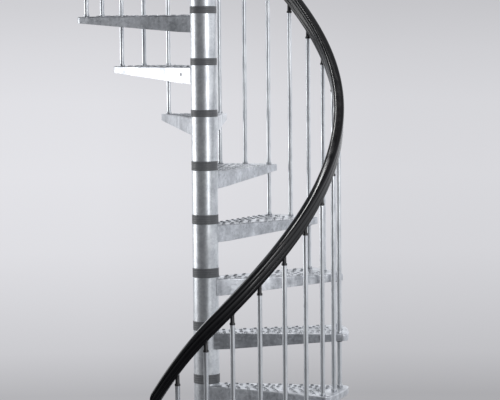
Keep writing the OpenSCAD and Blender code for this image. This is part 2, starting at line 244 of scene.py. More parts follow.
class Shell:
    """Points and faces of one mesh, each face with a material number."""

    def __init__(self):
        self.points = []
        self.faces = []
        self.materials = []

    def add(self, points):
        start = len(self.points)
        self.points.extend(tuple(p) for p in points)
        return list(range(start, len(self.points)))

    def face(self, ids, material=0):
        self.faces.append(tuple(ids))
        self.materials.append(material)

    def strip(self, low, high, closed, material=0):
        """Quads between two rows of points of the same length."""
        count = len(low)
        for i in range(count if closed else count - 1):
            j = (i + 1) % count
            self.face((low[i], low[j], high[j], high[i]), material)

    def rows(self, rows, closed, loop=False, material=0):
        """Strips between consecutive rows, and from the last back to the first in a loop."""
        ids = [self.add(row) for row in rows]
        for low, high in zip(ids, ids[1:] + (ids[:1] if loop else [])):
            self.strip(low, high, closed, material)
        return ids

    def join(self, other, matrix=Matrix()):
        """Adds another shell's faces, moved by a matrix."""
        start = len(self.points)
        self.points.extend(tuple(matrix @ Vector(p)) for p in other.points)
        self.faces.extend(tuple(i + start for i in face) for face in other.faces)
        self.materials.extend(other.materials)

    def moved(self, matrix):
        """A copy, moved by a matrix."""
        shell = Shell()
        shell.join(self, matrix)
        return shell

    def capped(self, ids):
        """Closes both ends of a tube made by rows."""
        self.face(ids[0][::-1])
        self.face(ids[-1])
        return self

    def piece(self, name, finishes, replaced=None, sharp=32.0):
        """Makes the object, with smooth shading up to the given angle, and lets it ride."""
        mesh = bpy.data.meshes.new(name)
        mesh.from_pydata(self.points, [], self.faces)
        mesh.update()
        for finish_name in finishes:
            mesh.materials.append(finish(finish_name))
        mesh.polygons.foreach_set("material_index", self.materials)
        mesh.polygons.foreach_set("use_smooth", [True] * len(mesh.polygons))
        mesh.set_sharp_from_angle(angle=radians(sharp))
        obj = add_object(name, mesh)
        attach(obj, "root")
        if replaced:
            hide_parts(replaced)


def circle(radius, z, steps):
    """Points round the Z axis, counterclockwise."""
    return [polar(radius, 2 * pi * i / steps, z) for i in range(steps)]


def lathe(profile, steps, closed=True, material=0):
    """A ring with a closed profile of (radius, height), or a solid whose profile starts and
    ends on the axis, at radius 0."""
    shell = Shell()
    if closed:
        shell.rows([circle(r, z, steps) for r, z in profile], True, True, material)
        return shell
    ids = shell.rows([circle(r, z, steps) for r, z in profile[1:-1]], True, False, material)
    first, last = shell.add([(0, 0, profile[0][1]), (0, 0, profile[-1][1])])
    for i in range(steps):
        j = (i + 1) % steps
        shell.face((first, ids[0][j], ids[0][i]), material)
        shell.face((last, ids[-1][i], ids[-1][j]), material)
    return shell


def tube_profile(radius, wall, chamfer, low, high):
    """Closed profile of a tube whose outer edges are chamfered."""
    inner = radius - wall
    return [
        (inner, low), (radius - chamfer, low), (radius, low + chamfer),
        (radius, high - chamfer), (radius - chamfer, high), (inner, high),
    ]


def rounded_ring(inner, outer, low, high, edge, soft):
    """Closed profile of a ring whose outer edges are rounded."""
    points = [(inner, low)]
    for centre_z, start in ((low + edge, -90), (high - edge, 0)):
        for i in range(soft + 1):
            a = radians(start + 90 * i / soft)
            points.append((outer - edge + edge * cos(a), centre_z + edge * sin(a)))
    points.append((inner, high))
    return points


def stair_matrix(degrees, radius=0.0, z=0.0):
    """Turns a piece that points along +X to an angle of the stair, at a radius and height."""
    return Matrix.Rotation(radians(degrees - 90), 4, "Z") @ Matrix.Translation((radius, 0, z))


def on_circle(degrees, z=0.0):
    """Places a piece on the balusters' circle."""
    return stair_matrix(degrees, baluster_radius(), z)


def settings():
    """All the settings of the scene."""
    return bpy.context.scene.staircase


def tread_turn():
    return in_degrees(settings().treads.turn)


def tread_angle(n):
    """Angle at which tread n stands."""
    first = in_degrees(settings().treads.first_turn)
    return tread_turn() * (n - 1) + (first if n == 1 else 0)


def baluster_angle(k):
    """Angle at which baluster k stands."""
    first = in_degrees(settings().treads.first_turn)
    return tread_turn() / 2 * k + (first if k < 1 else 0)


def tread_top(n):
    """Height of tread n's surface; the landing is the tread after the last."""
    return HUB_TOPS[n - 1] - settings().treads.hub_over


def side_line():
    """Slope of a tread's side line in radians, and its distance from the column's axis."""
    t = settings().treads
    x, y = HUB_R / 2, HUB_R - t.hub_past
    corner_x = baluster_radius() * cos(t.turn / 2)
    corner_y = baluster_radius() * sin(t.turn / 2) + t.lap
    slope = atan2(corner_y - y, corner_x - x)
    return slope, y * cos(slope) - x * sin(slope)


def turned(x, y, a):
    return x * cos(a) - y * sin(a), x * sin(a) + y * cos(a)


def half_edge(extra, marks):
    """Outer edge of half a tray as (x, y, inward x, inward y, distance along), from the hub
    to the middle of the outer arc. marks are extra places along the side line."""
    t = settings().treads
    slope, dist = side_line()
    corner_side = dist - t.corner_r
    corner_along = sqrt((t.outer_r - t.corner_r) ** 2 - corner_side**2)
    start = sqrt(TRAY_START**2 - dist**2)
    points = []
    places = set(np.linspace(start, corner_along, 9)) | set(marks)
    for along in sorted(places):
        x, y = turned(along, dist, slope)
        points.append((x, y, sin(slope), -cos(slope), along))
    cx, cy = turned(corner_along, corner_side, slope)
    corner_angle = atan2(cy, cx)
    first = pi / 2 + slope
    for i in range(1, 8):
        a = first + (corner_angle - first) * i / 7
        x, y = cx + t.corner_r * cos(a), cy + t.corner_r * sin(a)
        points.append((x, y, -cos(a), -sin(a), t.outer_r))
    points = [
        (*turned(x, y, extra / 2), *turned(nx, ny, extra / 2), along)
        for x, y, nx, ny, along in points
    ]
    reach = corner_angle + extra / 2
    steps = ceil(in_degrees(reach) / 1.6)
    for i in range(1, steps + 1):
        a = reach * (1 - i / steps)
        points.append((*polar(t.outer_r, a)[:2], -cos(a), -sin(a), t.outer_r))
    return points


def painted_shade_spot():
    """Place of the round painted shade spot on a tread's rear flange."""
    t = settings().treads
    slope, dist = side_line()
    n = TREADS.index(MARKED_TREAD) + 1
    x, y = turned(HUB_R + t.mark_out, dist, slope)
    return stair_matrix(tread_angle(n), 0, tread_top(n) - t.mark_down) @ Vector((x, y, 0))


def tray_depth(x, tapered):
    """Depth of a flange at the distance x out from the column's axis."""
    t = settings().treads
    if not tapered:
        return t.flange_hub
    reach = t.outer_r - settings().railing.inset
    part = min(1.0, max(0.0, (x - HUB_R) / (reach - HUB_R)))
    return t.flange_hub + part * (t.flange_outer - t.flange_hub)


def crown_places(extra):
    """Centres of the anti-slip crowns, in rows that follow the two side edges."""
    t = settings().treads
    slope, dist = side_line()
    places = []
    reach = t.outer_r - t.plain_end
    for side in (1, -1):
        row = 0
        while dist - t.edge_margin - row * t.row_gap > -reach:
            off = dist - t.edge_margin - row * t.row_gap
            along = HUB_R + CROWNS_START + (row % 2) * t.crown_gap / 2
            while along < reach:
                x, y = turned(*turned(along, off, slope), extra / 2)
                # Rows of the two halves keep half a gap apart; one row may stand on the middle.
                own_half = y > t.row_gap * 0.48 or (side > 0 and abs(y) < t.row_gap * 0.05)
                if own_half and HUB_R + CROWNS_CLEAR < hypot(x, y) < reach:
                    places.append((x, side * y))
                along += t.crown_gap
            row += 1
    return places


def inside(polygon, points):
    """Even-odd test of points against a polygon, both as arrays."""
    x, y = points[:, 0], points[:, 1]
    odd = np.zeros(len(points), bool)
    for (x1, y1), (x2, y2) in zip(polygon, np.roll(polygon, -1, axis=0)):
        crosses = (y1 > y) != (y2 > y)
        with np.errstate(divide="ignore", invalid="ignore"):
            at = x1 + (y - y1) * (x2 - x1) / (y2 - y1)
        odd ^= crosses & (x < at)
    return odd


def fill_sheet(shell, outer, holes, upward):
    """Triangles between an outer loop and round holes, given as (loop, centre, radius)."""
    loops = [outer] + [loop for loop, _, _ in holes]
    ids = [i for loop in loops for i in loop]
    flat = [Vector(shell.points[i][:2]) for i in ids]
    edges, start = [], 0
    for loop in loops:
        count = len(loop)
        edges += [(start + i, start + (i + 1) % count) for i in range(count)]
        start += count
    made = delaunay_2d_cdt(flat, edges, [], 0, 1e-7)
    points = np.array([tuple(p) for p in made[0]])
    triangles = np.array([list(f) for f in made[2]])
    middle = points[triangles].mean(axis=1)
    keep = inside(np.array([tuple(p) for p in flat[: len(outer)]]), middle)
    for _, centre, radius in holes:  # a hole's triangles lie well inside its circle
        keep &= np.hypot(middle[:, 0] - centre[0], middle[:, 1] - centre[1]) > radius * 0.985
    for a, b, c in triangles[keep]:
        pa, pb, pc = points[a], points[b], points[c]
        up = (pb[0] - pa[0]) * (pc[1] - pa[1]) - (pb[1] - pa[1]) * (pc[0] - pa[0]) > 0
        face = [ids[made[3][v][0]] for v in (a, b, c)]
        shell.face(face if up == upward else face[::-1])


def holed_cell(shell, corners, ring, flip):
    """Fills the space between four corners and a ring of points, both in turning order."""
    per_side = len(ring) // 4
    for q in range(4):
        for i in range(per_side):
            a, b = ring[q * per_side + i], ring[(q * per_side + i + 1) % len(ring)]
            tri = (corners[q], a, b)
            shell.face(tri[::-1] if flip else tri)
        last = ring[((q + 1) * per_side) % len(ring)]
        tri = (corners[q], last, corners[(q + 1) % 4])
        shell.face(tri[::-1] if flip else tri)


def flange_hole(shell, rows, cell, depth, radius, thickness):
    """Bores the flange of one cell: rows are the four rows of points that bound its faces."""
    top_out, low_out, low_in, top_in = rows
    i, j = cell
    a, b = Vector(shell.points[top_out[i]]), Vector(shell.points[top_out[j]])
    along = (b - a).normalized()
    inward = (Vector(shell.points[top_in[i]]) - a).normalized()
    inward.z = 0
    centre = (a + b) / 2
    centre.z = -depth
    rings = []
    for offset in (Vector(), inward.normalized() * thickness):
        points = []
        for k in range(16):
            w = radians(135 + 22.5 * k)
            up = Vector((0, 0, radius * sin(w)))
            points.append(centre + offset + along * radius * cos(w) + up)
        rings.append(shell.add(points))
    outer, inner = rings
    holed_cell(shell, (top_out[i], low_out[i], low_out[j], top_out[j]), outer, False)
    holed_cell(shell, (top_in[i], low_in[i], low_in[j], top_in[j]), inner, True)
    shell.strip(outer, inner, True)


def add_crown(shell, x, y, segments=12):
    """Rows of a raised, serrated crown. Returns its top and bottom loops."""
    t = settings().treads
    r, h = t.crown_r, t.crown_h
    sections = [
        (r * 1.06, 0.0, 0.0),
        (r, 0.0, 0.0),
        (r * 0.90, h * 0.10, 0.0),
        (r * 0.74, h * 0.62, 0.3),
        (r * 0.66, h, 1.0),
        (r * 0.57, h * 0.97, 1.0),
        (r * 0.55, h * 0.3, 0.0),
        (r * 0.62, -t.sheet * 0.5, 0.0),
        (r * 0.84, -t.sheet, 0.0),
        (r * 0.90, -t.sheet, 0.0),
    ]
    rows = []
    for radius, z, tooth in sections:
        ring = circle(radius, z, segments)
        rows.append([
            (x + px, y + py, pz + tooth * (0.6 * MM if i % 2 else -0.7 * MM))
            for i, (px, py, pz) in enumerate(ring)
        ])
    ids = [shell.add(row) for row in rows]
    for high, low in zip(ids, ids[1:]):
        shell.strip(high, low, True)
    return ids[0], ids[-1]


def build_tray(extra, tapered, flange_holes):
    """Folded sheet tray, its upper face at z = 0, with crowns and holes. flange_holes are
    (distance along the rear side line, depth, radius)."""
    t = settings().treads
    rail = settings().railing
    shell = Shell()
    marks = []
    for place, _, radius in flange_holes:
        marks += [place - radius * 1.6, place + radius * 1.6]
    rear = half_edge(extra, marks)
    front = [(x, -y, nx, -ny, along) for x, y, nx, ny, along in reversed(rear[:-1])]
    edge = rear + front
    depth = [tray_depth(x, tapered) for x, *_ in edge]
    b, s, e = t.bend, t.sheet, 0.5 * MM  # e softens the flange's lower edge
    flat = 1 * MM  # narrow rows beside a bend keep its shading off the flat sheet
    across = [(b + flat, 0, 0)]
    for turn_to in (0, 30, 60, 90):
        a = radians(turn_to)
        across.append((b - b * sin(a), -b + b * cos(a), 0))
    across += [(0, -b - flat, 0), (0, e, 1), (e, 0, 1)]
    across += [(s - e, 0, 1), (s, e, 1), (s, -b - flat, 0)]
    for turn_to in (90, 45, 0):
        a = radians(turn_to)
        across.append((b - (b - s) * sin(a), -b + (b - s) * cos(a), 0))
    across.append((b + flat, -s, 0))
    rows = []
    for inset, z, from_lower_edge in across:
        rows.append(shell.add([
            (x + inset * nx, y + inset * ny, z - d if from_lower_edge else z)
            for (x, y, nx, ny, _), d in zip(edge, depth)
        ]))
    cells = {}
    for place, down, radius in flange_holes:
        lows = [i for i in range(len(rear)) if rear[i][4] < place]
        cells[lows[-1]] = (down, radius)
    for k, (low, high) in enumerate(zip(rows, rows[1:])):
        for i in range(len(edge) - 1):
            if i in cells and k in (5, 9):
                continue
            shell.face((low[i], high[i], high[i + 1], low[i + 1]))
    for i, (down, radius) in cells.items():
        flange_hole(shell, (rows[5], rows[6], rows[9], rows[10]), (i, i + 1), down, radius, s)
    shell.face([row[0] for row in reversed(rows)])
    shell.face([row[-1] for row in rows])

    ends = [atan2(shell.points[rows[0][i]][1], shell.points[rows[0][i]][0]) for i in (-1, 0)]
    inner = [ends[0] + (ends[1] - ends[0]) * i / 13 for i in range(1, 13)]
    arc_top, arc_low = (
        shell.add([polar(TRAY_START, a, z) for a in inner])
        for z in (0, -s)
    )
    top = [rows[0][-1]] + arc_top + [rows[0][0]]
    low = [rows[-1][-1]] + arc_low + [rows[-1][0]]
    shell.strip(top, low, False)

    top_holes, low_holes = [], []
    for x, y in crown_places(extra):
        high_loop, low_loop = add_crown(shell, x, y)
        top_holes.append((high_loop, (x, y), t.crown_r * 1.06))
        low_holes.append((low_loop, (x, y), t.crown_r * 0.90))
    hole_r = rail.tube_r + 2 * PLAY
    a = -t.turn / 2 - extra / 2
    centre = polar(baluster_radius(), a)
    bore = [
        [(centre[0] + x, centre[1] + y, z) for x, y, z in circle(hole_r, z0, 24)]
        for z0 in (0, -s)
    ]
    loops = shell.rows(bore, True)
    top_holes.append((loops[0], centre, hole_r))
    low_holes.append((loops[1], centre, hole_r))
    fill_sheet(shell, rows[0] + arc_top, top_holes, True)
    fill_sheet(shell, rows[-1] + arc_low, low_holes, False)
    return shell


def weld_bead(extra, depth):
    """Rippled weld under the joint between a tray and its hub."""
    rng = np.random.default_rng(settings().stage.seed)
    slope, dist = side_line()
    reach = acos(dist / HUB_R)
    side = pi / 2 + slope - reach + extra / 2
    path = [(side, -depth * (1 - i / 8)) for i in range(8)]
    count = max(24, int(in_degrees(2 * side) / 4))
    path += [(side - 2 * side * i / count, 0.0) for i in range(count + 1)]
    path += [(-side, -depth * i / 8) for i in range(1, 9)]
    path = [(a, min(z, -0.6 * MM)) for a, z in path]  # just under the sheet's face
    shell = Shell()
    centres = [Vector(polar(HUB_R, a, z)) for a, z in path]
    rings = []
    for i, c in enumerate(centres):
        along = (centres[min(i + 1, len(centres) - 1)] - centres[max(i - 1, 0)]).normalized()
        out = Vector((c.x, c.y, 0)).normalized()
        out = (out - along * out.dot(along)).normalized()
        other = along.cross(out)
        r = (2.1 + 0.5 * rng.random()) * MM
        rings.append([
            c + out * r * cos(w) + other * r * sin(w)
            for w in (radians(45 * k) for k in range(8))
        ])
    shell.capped(shell.rows(rings, True))
    shell.materials = [1] * len(shell.faces)
    return shell


def build_stepped_piece(extra, tapered, flange_holes):
    """Tray, weld and hub tube; z = 0 is the hub's lower end."""
    t = settings().treads
    shell = Shell()
    top = HUB_H - t.hub_over
    tray = build_tray(extra, tapered, flange_holes)
    shell.join(tray, Matrix.Translation((0, 0, top)))
    shell.join(weld_bead(extra, t.flange_hub - 3 * MM), Matrix.Translation((0, 0, top)))
    hub = tube_profile(HUB_R, t.hub_wall, 0.7 * MM, 0, HUB_H)
    shell.join(lathe(hub, COLUMN_STEPS, True, 1))
    return shell


# ------------------------------------------------------------ balustrade


def cap_line(degrees):
    """Height of the caps' lower edge: it climbs with the treads and levels over the landing."""
    turn = tread_turn()
    last = len(TREADS)
    level = turn * last - turn / 4  # the handrail levels off over the last tread
    a = min(degrees, level)
    n = max(1, min(last, floor(a / turn) + 1))
    part = (a - turn * (n - 1)) / turn
    return tread_top(n) + settings().railing.cap_over + part * (tread_top(n + 1) - tread_top(n))


def droop_part(degrees, end):
    """How far an angle lies from where the droop begins, as a share of the way to its end."""
    begins = tread_turn() / 6
    return max(0, begins - degrees) / (begins - end)


def cap_height(degrees):
    """The same height with its bend eased and its lower end drooping."""
    samples = [-5.4, -3.6, -1.8, 0, 1.8, 3.6, 5.4]
    eased = sum(cap_line(degrees + s) for s in samples) / len(samples)
    return eased - settings().handrail.droop * droop_part(degrees, start_angle()) ** 2


def baluster_radius():
    return settings().treads.outer_r - settings().railing.inset


def rail_slope(degrees, step=0.25):
    """Rise of the handrail over the distance along the baluster circle."""
    run = baluster_radius() * radians(2 * step)
    return (cap_height(degrees + step) - cap_height(degrees - step)) / run


def start_angle():
    return baluster_angle(-1) - in_degrees(settings().railing.start_turn)


def baluster_angles():
    """Angles of all the balusters, the floor-standing one first."""
    last = 2 * len(TREADS) + 5
    return [start_angle()] + [baluster_angle(k) for k in range(-1, last + 1)]


def foot_top(k):
    """Height of the tread or landing that baluster k stands on."""
    n = 1 if k < 0 else min(len(TREADS) + 1, k // 2 + 1)
    return tread_top(n)


def build_baluster(low, high):
    """Tube with softened ends from one height to another."""
    rail = settings().railing
    return lathe(tube_profile(rail.tube_r, rail.tube_wall, 0.4 * MM, low, high), TUBE_STEPS)


def build_cap(degrees):
    """Cap with a beaded collar and a neck whose top follows the handrail's slope."""
    rail = settings().railing
    r = rail.tube_r
    neck = r - 1 * MM
    top = rail.cap_h - 0.3 * MM
    profile = [
        (0, -PLUG), (r - 2.2 * MM, -PLUG), (r - 1.75 * MM, 1 * MM - PLUG),
        (r - 1.75 * MM, TUBE_IN_CAP), (r + PLAY, TUBE_IN_CAP), (r + PLAY, 0),
        (r + 1.4 * MM, 0), (r + 2 * MM, 0.7 * MM),
        (r + 2 * MM, 7.6 * MM), (r + 1.3 * MM, 9 * MM), (r - 0.2 * MM, 9.6 * MM),
        (neck, 11 * MM), (neck - 0.5 * MM, top - 1 * MM), (neck - 1.1 * MM, top), (0, top),
    ]
    shell = lathe(profile, TUBE_STEPS, False)
    below, above = rail_slope(degrees - 1.9, 1.9), rail_slope(degrees + 1.9, 1.9)
    leaning = top - 2 * MM
    shell.points = [
        (x, y, z + min(below * y, above * y) if z > leaning else z) for x, y, z in shell.points
    ]
    return shell


def hexagon_head(across, height, soft):
    """Bolt head with a chamfered top, standing on z = 0."""
    r = across / 2 / cos(pi / 6)
    shell = Shell()
    rows = [circle(r, 0, 6), circle(r, height - soft, 6), circle(r - soft * 1.4, height, 6)]
    return shell.capped(shell.rows(rows, True))


def bolt(kind):
    """A washer that stands on z = 0, and a bolt's head on it."""
    across, height, soft, bore, rim, thick = BOLTS[kind]
    shell = lathe(rounded_ring(bore, rim, 0, thick, 0.3 * MM, 1), TUBE_STEPS)
    shell.join(hexagon_head(across, height, soft), Matrix.Translation((0, 0, thick - SINK)))
    return shell


# --------------------------------------------------------------- handrail


def rail_side(grooved):
    """Outer half of the handrail's section as (out, up), from its foot to its top: a flat
    foot, straight flanks with two lengthwise grooves, and a domed grip."""
    h = settings().handrail
    w, half = h.width / 2, h.height / 2
    g = h.groove if grooved else 0.0
    side = [(w * 0.50, -half), (w * 0.72, -half + 1.2 * MM), (w * 0.85, -half + 4.5 * MM)]
    side += [(w * 0.90, -half + 9 * MM), (w * 0.91, -half + 14 * MM)]
    lower, upper = -half + 20 * MM, half - 21 * MM
    side += groove_points(w * 0.91, w * 0.94, lower, h.groove * 0.5, g * 0.5)
    side += [(w * 0.945, (lower + upper) / 2)]
    side += groove_points(w * 0.94, w * 0.99, upper, h.groove, g)
    dome_z = upper + h.groove * 2.2
    for i in range(1, 12):
        a = radians(90 * i / 12)
        side.append((w * cos(a) ** 0.62, dome_z + (half - dome_z) * sin(a) ** 0.95))
    return side


def rail_profile(grooved=True):
    """The whole section of the handrail, counterclockwise."""
    side = rail_side(grooved)
    return side + [(0, settings().handrail.height / 2)] + [(-x, z) for x, z in reversed(side)]


def groove_points(x_below, x_above, z, tall, depth):
    """A rounded groove with crisp lips, centred at height z."""
    return [
        (x_below, z - tall * 1.5), (x_below - depth * 0.10, z - tall * 0.95),
        (x_below - depth * 0.75, z - tall * 0.45), (x_below - depth, z + tall * 0.05),
        (x_above - depth * 0.85, z + tall * 0.5), (x_above - depth * 0.12, z + tall * 0.9),
        (x_above, z + tall * 1.4),
    ]


def rail_ring(profile, degrees, shrink=1.0):
    """The profile standing at an angle of the stair, stretched to the rail's slope and
    tapering towards the lower end."""
    h = settings().handrail
    part = min(1, droop_part(degrees, rail_reach()[0]))
    tall = (1 - part * (1 - h.end_h / h.height)) * sqrt(1 + rail_slope(degrees) ** 2)
    middle = cap_height(degrees) + settings().railing.cap_h + h.height / 2 * tall
    a = radians(degrees - 90)
    radius = baluster_radius()
    return [polar(radius + x * shrink, a, middle + z * shrink * tall) for x, z in profile]


def rail_reach():
    """Angles at which the handrail starts and ends."""
    over = in_degrees(settings().handrail.past / baluster_radius())
    angles = baluster_angles()
    return angles[0] - over, angles[-1] + over


# -------------------------------------------------------------- finishes


class Wiring:
    """Short calls for making and linking nodes in one tree."""

    def __init__(self, tree):
        self.tree = tree

    def node(self, kind, **values):
        made = self.tree.nodes.new(kind)
        for key, value in values.items():
            setattr(made, key, value)
        return made

    def link(self, source, target):
        self.tree.links.new(source, target)

    def feed(self, socket, value):
        if isinstance(value, bpy.types.NodeSocket):
            self.link(value, socket)
        else:
            socket.default_value = value

    def math(self, operation, a, b=0.0, clamp=False):
        made = self.node("ShaderNodeMath", operation=operation, use_clamp=clamp)
        self.feed(made.inputs[0], a)
        self.feed(made.inputs[1], b)
        return made.outputs[0]

    def total(self, *parts):
        """Sum of (value, share) pairs."""
        parts = [v if share == 1 else self.math("MULTIPLY", v, share) for v, share in parts]
        return functools.reduce(functools.partial(self.math, "ADD"), parts)

    def mix(self, factor, a, b, blend="MIX"):
        made = self.node("ShaderNodeMix", data_type="RGBA", blend_type=blend)
        self.feed(made.inputs[0], factor)
        self.feed(made.inputs[6], a)
        self.feed(made.inputs[7], b)
        return made.outputs[2]

    def noise(self, vector, scale, detail=3.0, roughness=0.55):
        made = self.node("ShaderNodeTexNoise")
        self.feed(made.inputs["Vector"], vector)
        self.feed(made.inputs["Scale"], scale)
        made.inputs["Detail"].default_value = detail
        made.inputs["Roughness"].default_value = roughness
        return made.outputs["Fac"]

    def ranged(self, value, low, high, to_low=0.0, to_high=1.0):
        made = self.node("ShaderNodeMapRange", clamp=True)
        self.feed(made.inputs["Value"], value)
        limits = {"From Min": low, "From Max": high, "To Min": to_low, "To Max": to_high}
        for name, limit in limits.items():
            self.feed(made.inputs[name], limit)
        return made.outputs["Result"]

    def place(self):
        """Object coordinates."""
        return self.node("ShaderNodeTexCoord").outputs["Object"]

    def stretched(self, scale):
        """Object coordinates stretched along the axes."""
        mapping = self.node("ShaderNodeMapping")
        self.link(self.place(), mapping.inputs["Vector"])
        mapping.inputs["Scale"].default_value = scale
        return mapping.outputs["Vector"]


def group_tree(name, inputs):
    """An empty node group with the given inputs, and a finish's three outputs. Returns its
    wiring, and its input and output nodes."""
    tree = bpy.data.node_groups.new(name, "ShaderNodeTree")
    for socket, kind, default in inputs:
        made = tree.interface.new_socket(
            name=socket, in_out="INPUT", socket_type="NodeSocket" + kind
        )
        made.default_value = default
    for socket, kind in (("Color", "Color"), ("Roughness", "Float"), ("Height", "Float")):
        kind = "NodeSocket" + kind
        tree.interface.new_socket(name=socket, in_out="OUTPUT", socket_type=kind)
    w = Wiring(tree)
    return w, w.node("NodeGroupInput"), w.node("NodeGroupOutput")


@functools.cache
def make_zinc_group():
    """Spangled, cloudy zinc with a round spot of painted shade: colour, roughness and height."""
    w, into, out = group_tree(
        "Zinc Bloom",
        [
            ("Light", "Color", (0.6, 0.6, 0.6, 1)),
            ("Dark", "Color", (0.4, 0.4, 0.4, 1)),
            ("Roughness", "Float", 0.4),
            ("Cloud Scale", "Float", 9.0),
            ("Spangle Scale", "Float", 90.0),
            ("Shade Spot Place", "Vector", (0, 0, -10)),
        ],
    )
    place = w.place()
    cloud = w.noise(place, into.outputs["Cloud Scale"], 5.0, 0.6)
    drift = w.noise(w.stretched((14, 14, 3.2)), 1.6, 4.0, 0.65)
    cells = w.node("ShaderNodeTexVoronoi", feature="F1")
    w.link(place, cells.inputs["Vector"])
    w.link(into.outputs["Spangle Scale"], cells.inputs["Scale"])
    apart = w.node("ShaderNodeSeparateColor")
    w.link(cells.outputs["Color"], apart.inputs[0])
    spangle = apart.outputs[0]
    grit = w.noise(place, 420.0, 2.0, 0.5)
    mask = w.total((cloud, 0.9), (drift, 0.7), (spangle, 0.22), (grit, 0.25))
    mask = w.ranged(mask, 0.72, 1.32)
    off = w.node("ShaderNodeVectorMath", operation="DISTANCE")
    w.link(place, off.inputs[0])
    w.link(into.outputs["Shade Spot Place"], off.inputs[1])
    # A dark round spot on one tread's rear flange: painted shade, where a hole's dark inside
    # would show
    mark = w.ranged(off.outputs["Value"], *MARK_R)
    bloom = w.mix(mask, into.outputs["Dark"], into.outputs["Light"])
    painted_shade = w.mix(0.8, bloom, (0.05, 0.05, 0.055, 1))
    w.link(w.mix(mark, painted_shade, bloom), out.inputs["Color"])
    uneven = (w.ranged(spangle, 0, 1, -0.05, 0.07), 1), (w.ranged(mask, 0, 1, 0.07, -0.05), 1)
    w.link(w.total((into.outputs["Roughness"], 1), *uneven), out.inputs["Roughness"])
    wave = w.noise(w.stretched((16, 16, 9)), 1.0, 2.0)
    w.link(w.total((wave, 1), (spangle, 0.035), (grit, 0.03)), out.inputs["Height"])
    return w.tree


@functools.cache
def make_streak_group():
    """Lengthwise streaks on drawn or extruded pieces: colour, roughness and height."""
    w, into, out = group_tree(
        "Drawn Streaks",
        [
            ("Light", "Color", (0.6, 0.6, 0.6, 1)),
            ("Dark", "Color", (0.5, 0.5, 0.5, 1)),
            ("Roughness", "Float", 0.3),
            ("Blotch Scale", "Float", 14.0),
        ],
    )
    place = w.place()
    streak = w.noise(w.stretched((260, 260, 5)), 1.0, 3.0, 0.6)
    blotch = w.noise(place, into.outputs["Blotch Scale"], 4.0, 0.6)
    fine = w.noise(place, 300.0, 2.0, 0.5)
    mask = w.ranged(w.total((streak, 0.55), (blotch, 0.75), (fine, 0.2)), 0.52, 0.98)
    w.link(w.mix(mask, into.outputs["Dark"], into.outputs["Light"]), out.inputs["Color"])
    rough = w.math("ADD", into.outputs["Roughness"], w.ranged(mask, 0, 1, 0.06, -0.05))
    w.link(rough, out.inputs["Roughness"])
    wave = w.noise(w.stretched((22, 22, 7)), 1.0, 2.0)
    w.link(w.total((wave, 1), (streak, 0.12), (fine, 0.02)), out.inputs["Height"])
    return w.tree


@functools.cache
def make_moulded_group():
    """Moulded plastic: faint mottling, dust that is thickest on upward faces and a fine grain.
    """
    w, into, out = group_tree(
        "Moulded Skin",
        [
            ("Base", "Color", (0.02, 0.02, 0.02, 1)),
            ("Dust", "Color", (0.16, 0.16, 0.16, 1)),
            ("Dust Amount", "Float", 0.15),
            ("Roughness", "Float", 0.4),
            ("Grain Scale", "Float", 900.0),
        ],
    )
    place = w.place()
    grain = w.noise(place, into.outputs["Grain Scale"], 2.0, 0.5)
    patch = w.noise(place, 26.0, 5.0, 0.62)
    up = w.node("ShaderNodeSeparateXYZ")
    w.link(w.node("ShaderNodeNewGeometry").outputs["Normal"], up.inputs[0])
    settled = w.ranged(up.outputs["Z"], -0.2, 1.0, 0.25, 1.0)
    dust = w.math("MULTIPLY", w.ranged(patch, 0.38, 0.72), settled)
    dust = w.math("MULTIPLY", dust, into.outputs["Dust Amount"], True)
    w.link(w.mix(dust, into.outputs["Base"], into.outputs["Dust"]), out.inputs["Color"])
    rough = w.math("ADD", into.outputs["Roughness"], w.ranged(patch, 0.3, 0.7, -0.04, 0.08))
    w.link(w.total((rough, 1), (dust, 0.3)), out.inputs["Roughness"])
    w.link(grain, out.inputs["Height"])
    return w.tree


def new_material(name):
    """An empty material, its wiring and its shader."""
    material = bpy.data.materials.new(name)
    material.use_nodes = True
    tree = material.node_tree
    return material, Wiring(tree), tree.nodes["Principled BSDF"]


def make_material(name, group, values, metallic, bump, distance):
    """A material whose colour, roughness and bump come from a node group."""
    material, w, shader = new_material(name)
    effect = w.node("ShaderNodeGroup", node_tree=group)
    for key, value in values.items():
        socket = effect.inputs[key]
        socket.default_value = (*value, 1) if socket.type == "RGBA" else value
    bumped = w.node("ShaderNodeBump")
    bumped.inputs["Strength"].default_value = bump
    bumped.inputs["Distance"].default_value = distance
    shader.inputs["Metallic"].default_value = metallic
    w.link(effect.outputs["Height"], bumped.inputs["Height"])
    w.link(effect.outputs["Color"], shader.inputs["Base Color"])
    w.link(effect.outputs["Roughness"], shader.inputs["Roughness"])
    w.link(bumped.outputs["Normal"], shader.inputs["Normal"])
    material.diffuse_color = (*next(iter(values.values())), 1)
    return material


def moulded(base, dust, amount, roughness, grain):
    """Values of the moulded finishes' node group."""
    return {
        "Base": base, "Dust": dust, "Dust Amount": amount, "Roughness": roughness,
        "Grain Scale": grain,
    }


